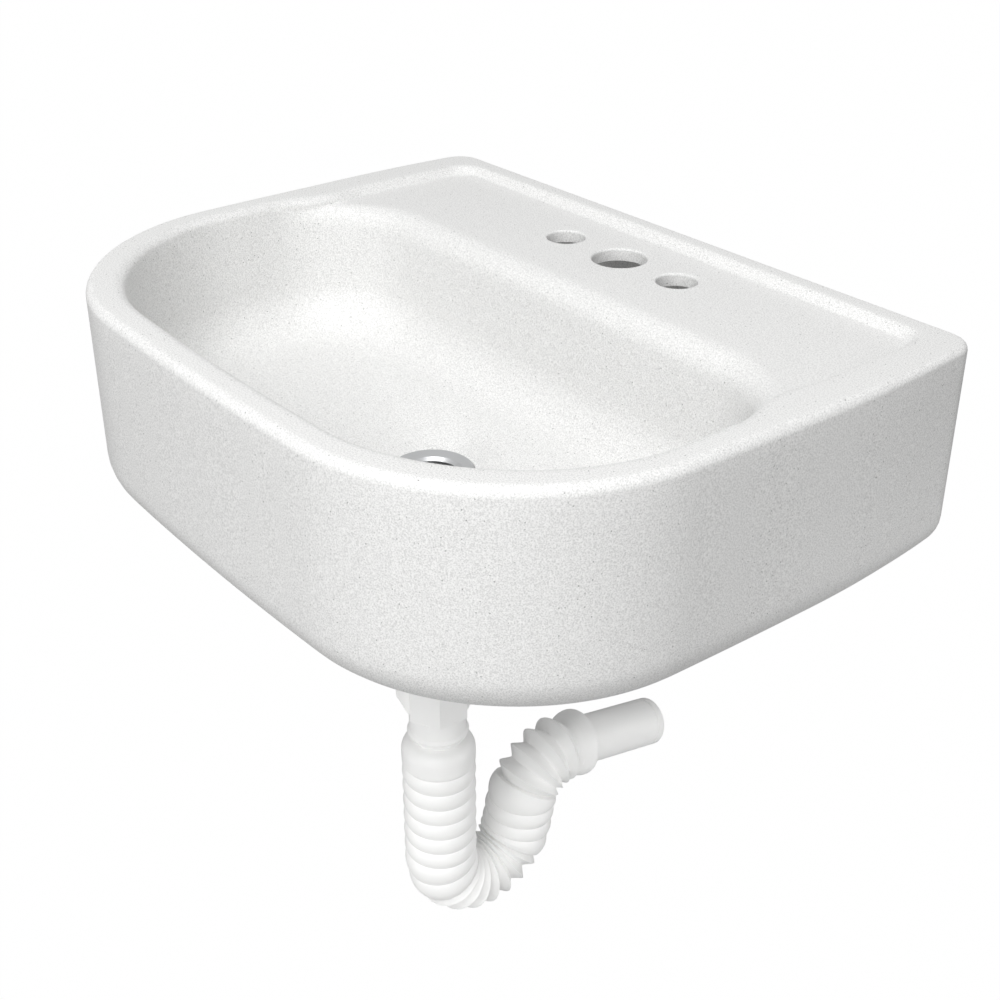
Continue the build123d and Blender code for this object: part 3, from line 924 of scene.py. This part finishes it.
@dataclass
class Trap:
    """The blow-moulded trap: ribbed hose, bellows of the upper bend, collar and spigot."""
    route: Route = Route()
    bore: float = 14.8
    flange_radius: float = 17.4
    flange_start: float = -31.15
    flange_end: float = -28.65
    neck_radius: float = 16.4
    neck_start: float = -26.5
    neck_bead: float = 1.5
    neck_bead_range: Pair = (-25.2, -21.2)
    dome_start: float = -21.0
    dome_height: float = 9.8
    dome_radius: float = 25.0
    band_powers: Pair = (8.0, 0.6)
    closed_crest: float = 25.0
    closed_valley: float = 23.0
    closed_power: float = 0.8
    open_crest: float = 24.4
    open_valley: float = 18.2
    open_tip: float = 0.06
    open_power: float = 1.2
    pressed_share: float = 0.6
    leg_ribs: int = 8
    u_ribs: int = 7
    rising_ribs: int = 3
    upper_closed_ribs: int = 1
    upper_open_ribs: int = 4
    u_open_shares: Pair = (0.19, 0.85)
    upper_open_shares: Pair = (0.22, 0.93)
    collar_radius: float = 24.4
    collar_length: float = 12.0
    collar_round: float = 3.0
    collar_power: float = 0.9
    spigot_radius: float = 17.8
    spigot_wall: float = 1.8
    spigot_length: float = 85.0
    spigot_fillet: float = 1.2
    spigot_end_round: float = 1.2
    ring_from_end: Pair = (7.2, 6.0)
    ring_depth: float = 0.4
    ring_bevel: float = 0.3
    columns: int = 96
    bore_pitch: float = 3.0
    crease_degrees: float = 50.0
    blend_half: float = 20.0

    def closed_ribs(self, start: float, end: float, count: int) -> Array:
        """Rows of ribs that lie closed: full bulges with thin valleys.

        Radius = valley + (crest - valley) sin(180 degrees u)^power, with u from 0 to 1 across a
        rib and rows drawn together at the valleys.

        Args:
            start: Distance at which the first rib starts.
            end: Distance at which the last rib ends.
            count: Number of ribs.
        Returns:
            Distance and radius of each row.
        """
        share = (1 - np.cos(np.linspace(0, np.pi, 13)[:-1])) / 2
        bulge = np.sin(np.pi * share) ** self.closed_power
        radius = self.closed_valley + (self.closed_crest - self.closed_valley) * bulge
        return self.repeat(share, radius, start, end, count)

    def open_ribs(self, start: float, end: float, count: int) -> Array:
        """Rows of ribs that lie open: steep flanks with a small rounded tip.

        Radius = valley + depth ((w(1) - w(2u - 1)) / (w(1) - w(0)))^power, with u from 0 to 1
        across a rib and w(v) = sqrt(v^2 + tip^2), so that the flanks are slightly hollow.

        Args:
            start: Distance at which the first rib starts.
            end: Distance at which the last rib ends.
            count: Number of ribs.
        Returns:
            Distance and radius of each row.
        """
        share, tip = np.linspace(0, 1, 17)[:-1], self.open_tip
        whole = np.hypot(1, tip)
        rise = ((whole - np.hypot(2 * share - 1, tip)) / (whole - tip)) ** self.open_power
        radius = self.open_valley + (self.open_crest - self.open_valley) * rise
        return self.repeat(share, radius, start, end, count)

    @staticmethod
    def repeat(share: Array, radius: Array, start: float, end: float, count: int) -> Array:
        """Repeat one rib's rows side by side between two distances.

        Args:
            share: Share of the way across the rib of each row.
            radius: Radius of each row.
            start: Distance at which the first rib starts.
            end: Distance at which the last rib ends.
            count: Number of ribs.
        Returns:
            Distance and radius of each row.
        """
        pitch = (end - start) / count
        distance = start + pitch * (np.arange(count)[:, None] + share[None, :])
        return pairs(distance.ravel(), np.tile(radius, count))

    def neck_rows(self) -> Array:
        """Rows of the hose's flange, neck with its soft bead, domed shoulder and smooth band.

        Along the band's share s the radius is valley + (dome - valley)(1 - s^p)^q, with p and q
        its two powers, so that it stays full and then drops into the first valley.

        Returns:
            Distance and radius of each row.
        """
        first, last = self.neck_bead_range
        neck, dome_rise = self.neck_radius, self.dome_radius - self.neck_radius
        turn, quarter = np.linspace(0, np.pi, 11), quarter_turn(12)
        bead = pairs(first + (last - first) * turn / np.pi,
                     neck + self.neck_bead * np.sin(turn) ** 2)
        dome = pairs(self.dome_start + self.dome_height * (1 - np.cos(quarter)),
                     neck + dome_rise * np.sin(quarter))
        share = np.sin(quarter)[1:-1]
        full, drop = self.band_powers
        band = pairs((self.dome_start + self.dome_height) * (1 - share),
                     self.closed_valley + (self.dome_radius - self.closed_valley)
                     * (1 - share ** full) ** drop)
        flange = [(self.flange_start, self.flange_radius), (self.flange_end, self.flange_radius),
                  (self.flange_end + 0.01, neck), (self.neck_start, neck)]
        return np.concatenate([flange, bead, dome, band])

    def collar_rows(self, start: float, end: float) -> Array:
        """Rows of the collar's flared flank between two distances.

        Radius = valley + (collar - valley) sin(90 degrees u)^power, with u running from the last
        valley of the ribs to the collar's crest.

        Args:
            start: First distance.
            end: Last distance.
        Returns:
            Distance and radius of each row.
        """
        route = self.route
        last = route.hose_end + self.upper_open_shares[1] * (route.bellows_end - route.hose_end)
        crest = route.bellows_end + self.collar_length - self.collar_round
        distance = np.linspace(start, end, 10)
        flare = np.sin(np.pi / 2 * (distance - last) / (crest - last)) ** self.collar_power
        return pairs(distance, self.open_valley + (self.collar_radius - self.open_valley) * flare)

    def hollow(self, name: str, outside: Array, inside: Array) -> Object:
        """Close an outer and an inner profile into one hollow tube along the route.

        Args:
            name: Name of the piece.
            outside: Distance and radius of each row of the outer side.
            inside: Distance and radius of each row of the water way.
        Returns:
            The closed tube.
        """
        points = np.concatenate([
            self.route.tube(outside, self.columns, self.open_crest, self.pressed_share),
            self.route.tube(inside[::-1], self.columns)])
        piece = closed_grid(name, points, closed_rows=True)
        sharpen(piece, self.crease_degrees)
        return piece

    def bore_rows(self, start: float, end: float) -> Array:
        """Rows of the smooth water way, about one pitch apart."""
        distance = np.linspace(start, end, int((end - start) / self.bore_pitch) + 2)
        return pairs(distance, np.full_like(distance, self.bore))

    def build_hose(self) -> Object:
        """Build neck, leg, U bend and rising leg as one hollow piece.

        Returns:
            The piece, not dressed yet.
        """
        route = self.route
        first, last = (route.leg + share * route.u_length for share in self.u_open_shares)
        outside = np.concatenate([self.neck_rows(), self.closed_ribs(0.0, first, self.leg_ribs),
                                  self.open_ribs(first, last, self.u_ribs),
                                  self.closed_ribs(last, route.hose_end, self.rising_ribs),
                                  [(route.hose_end, self.closed_valley)]])
        inside = self.bore_rows(self.flange_start, route.hose_end)
        return self.hollow("ribbed_hose", outside, inside)

    def build_bellows(self) -> Object:
        """Build the upper bend's ribs with the flared start of the collar.

        Returns:
            The piece, not dressed yet.
        """
        start, end = self.route.hose_end, self.route.bellows_end
        first, last = (start + share * (end - start) for share in self.upper_open_shares)
        outside = np.concatenate([self.closed_ribs(start, first, self.upper_closed_ribs),
                                  self.open_ribs(first, last, self.upper_open_ribs),
                                  self.collar_rows(last, end)])
        return self.hollow("upper_bellows", outside, self.bore_rows(start, end))

    def build_spigot(self) -> Object:
        """Build the collar and the smooth tube with its ring line and rounded open end.

        Returns:
            The piece, not dressed yet.
        """
        start, length, radius = self.route.bellows_end, self.collar_length, self.spigot_radius
        size, small, edge = self.collar_round, self.spigot_fillet, self.spigot_end_round
        ahead, aside = 1 - np.sin(quarter_turn(7)), 1 - np.cos(quarter_turn(7))
        collar = pairs(length - size * ahead, self.collar_radius - size * aside)
        fillet = pairs(length + small * aside, radius + small * ahead)
        ring_start, ring_end = (self.spigot_length - distance for distance in self.ring_from_end)
        low = radius - self.ring_depth
        ring = [(ring_start, radius), (ring_start + self.ring_bevel, low),
                (ring_end - self.ring_bevel, low), (ring_end, radius)]
        end = pairs(self.spigot_length - edge * ahead, radius - edge * aside)
        flank = self.collar_rows(start, start + length - size) - (start, 0)
        outside = np.concatenate([flank, collar, fillet, ring, end])
        inner = radius - self.spigot_wall
        inside = np.array([(0.0, self.bore), (length - self.spigot_wall, self.bore),
                           (length, inner), (self.spigot_length / 2, inner),
                           (self.spigot_length, inner)])
        return self.hollow("outlet_tube", outside + (start, 0), inside + (start, 0))

    def build(self, wardrobe: Wardrobe) -> list[Object]:
        """Build and dress the three pieces, and attach the hose and the spigot to their bodies.

        Args:
            wardrobe: Source of the materials.
        Returns:
            The finished pieces.
        """
        hose, bellows, spigot = self.build_hose(), self.build_bellows(), self.build_spigot()
        for piece, node in ((hose, "trap_hose"), (bellows, "outlet_bellows"),
                            (spigot, "outlet_spigot")):
            wardrobe.dress(piece, Surface.HOSE)
            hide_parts(node)
        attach(hose, "trap")
        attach(spigot, "outlet")
        middle = np.array([(self.route.hose_end + self.route.bellows_end) / 2])
        y, z, heading = (part[0] for part in self.route.at(middle))
        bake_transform(bellows)
        return [hose, bellows, spigot]


@dataclass
class PackedPieces:
    """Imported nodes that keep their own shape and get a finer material."""
    finishes: tuple[tuple[Surface, str, tuple[str, ...]], ...] = (
        (Surface.METAL, "waste_metal", ("drain_body",)),
        (Surface.RUBBER, "seal_rubber", ("flange_gasket", "under_gasket", "inlet_washer")),
        (Surface.NUT, "nut_plastic",
         ("friction_washer", "waste_locknut", "tailpiece", "inlet_nut")))

    def build(self, wardrobe: Wardrobe) -> list[Object]:
        """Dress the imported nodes.

        Args:
            wardrobe: Source of the materials.
        Returns:
            The dressed nodes.
        """
        dressed = []
        for surface, slot, names in self.finishes:
            for name in names:
                wardrobe.dress(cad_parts[name], surface)
                dressed.append(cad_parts[name])
        return dressed


@dataclass(frozen=True)
class Lamp:
    """Square soft lamp at a place that faces a target, both in metres, with its beam's angle."""
    name: str
    place: Triple
    target: Triple
    size: float
    watts: float
    spread: float = 180.0

    def build(self) -> None:
        """Add the lamp, its back turned away from the target and its top side up."""
        light = bpy.data.lights.new(self.name, "AREA")
        light.shape = "SQUARE"
        light.size = self.size
        light.energy = self.watts
        light.spread = np.radians(self.spread)
        lamp = bpy.data.objects.new(self.name, light)
        bpy.context.scene.collection.objects.link(lamp)
        back = np.subtract(self.place, self.target)
        back = back / np.linalg.norm(back)
        right = np.cross((0.0, 0.0, 1.0), back)
        right = right / np.linalg.norm(right)
        lamp.matrix_world = axes_matrix(right, np.cross(back, right), back, self.place)


@dataclass
class Studio:
    """Camera of the photograph, plain pale floor and soft light.

    Two large lamps light the basin, and two small narrow ones the trap in its shade.
    """
    camera_axes: tuple[Triple, Triple, Triple] = (
        (0.62358, 0.78176, 0.0), (-0.37893, 0.30225, 0.87468), (0.68379, -0.54543, 0.48471))
    camera_place: Triple = (0.65723, -0.67316, 0.39273)
    focal_pixels: float = 1516.66
    frame_pixels: float = 1000.0
    sensor_mm: float = 36.0
    floor_z: float = -0.75
    floor_half: float = 6.0
    floor_finish: Finish = Finish("pale_floor", "B8B8B8", 0.9)
    white_share: float = 0.998
    room_strength: float = 0.34
    lamps: tuple[Lamp, ...] = (
        Lamp("key", (0.62, -1.25, 1.76), (0.0, -0.18, 0.0), 1.6, 41.0),
        Lamp("fill", (1.54, -2.01, 0.21), (0.0, -0.18, 0.0), 1.6, 14.0),
        Lamp("low_front", (0.0, -1.1, -0.45), (0.0, -0.14, -0.32), 0.3, 0.09, 38.0),
        Lamp("low_side", (0.8, 0.35, -0.08), (0.0, -0.08, -0.31), 0.3, 0.15, 35.0))

    def add_camera(self) -> None:
        """Place the camera from its three axes and its focal length in pixels."""
        lens = bpy.data.cameras.new("photo_camera")
        lens.sensor_fit = "HORIZONTAL"
        lens.sensor_width = self.sensor_mm
        lens.lens = self.focal_pixels / self.frame_pixels * self.sensor_mm
        lens.clip_start = 0.01
        camera = bpy.data.objects.new("photo_camera", lens)
        bpy.context.scene.collection.objects.link(camera)
        camera.matrix_world = axes_matrix(*self.camera_axes, self.camera_place)
        bpy.context.scene.camera = camera

    def add_floor(self) -> None:
        """Lay a large pale floor that shows white to the camera and keeps its shadow."""
        mesh = bpy.data.meshes.new("floor")
        corners = [(x * self.floor_half, y * self.floor_half, self.floor_z)
                   for x, y in ((-1, -1), (1, -1), (1, 1), (-1, 1))]
        mesh.from_pydata(corners, [], [(0, 1, 2, 3)])
        floor = bpy.data.objects.new("floor", mesh)
        bpy.context.scene.collection.objects.link(floor)
        material, tree, shader = self.floor_finish.start()
        seen = add_node(tree, "LightPath").outputs["Is Camera Ray"]
        white = add_node(tree, "Emission", {}, {"Strength": 1.0})
        share = add_node(tree, "Math", {"operation": "MULTIPLY"}, {0: seen, 1: self.white_share})
        mix = add_node(tree, "MixShader", {},
                       {0: share.outputs[0], 1: shader.outputs[0], 2: white.outputs[0]})
        set_inputs(tree, tree.nodes["Material Output"], {"Surface": mix.outputs[0]})
        mesh.materials.append(material)

    def add_world(self) -> None:
        """Light the room evenly, and show white to the camera and in reflections."""
        world = bpy.data.worlds.new("studio")
        bpy.context.scene.world = world
        world.use_nodes = True
        tree = world.node_tree
        soft = tree.nodes["Background"]
        set_inputs(tree, soft, {"Color": "FFFFFF", "Strength": self.room_strength})
        path = add_node(tree, "LightPath").outputs
        seen = add_node(tree, "Math", {"operation": "MAXIMUM"},
                        {0: path["Is Camera Ray"], 1: path["Is Glossy Ray"]})
        white = add_node(tree, "Background", {}, {"Color": "FFFFFF", "Strength": 1.0})
        mix = add_node(tree, "MixShader", {},
                       {0: seen.outputs[0], 1: soft.outputs[0], 2: white.outputs[0]})
        set_inputs(tree, tree.nodes["World Output"], {"Surface": mix.outputs[0]})

    def build(self) -> None:
        """Set up camera, floor, world and lamps, and show colours as they are."""
        self.add_camera()
        self.add_floor()
        self.add_world()
        for lamp in self.lamps:
            lamp.build()
        bpy.context.scene.view_settings.view_transform = "Standard"


def main() -> None:
    """Build the studio and every piece in order, and log each piece's face count."""
    logging.basicConfig(level=logging.INFO, format="%(name)s: %(message)s")
    Studio().build()
    wardrobe = Wardrobe()
    for assembly in (Basin(), Trap(), PackedPieces()):
        for piece in assembly.build(wardrobe):
            LOG.info("%s has %d faces", piece.name, len(piece.data.polygons))


if __name__ == "__main__":
    main()
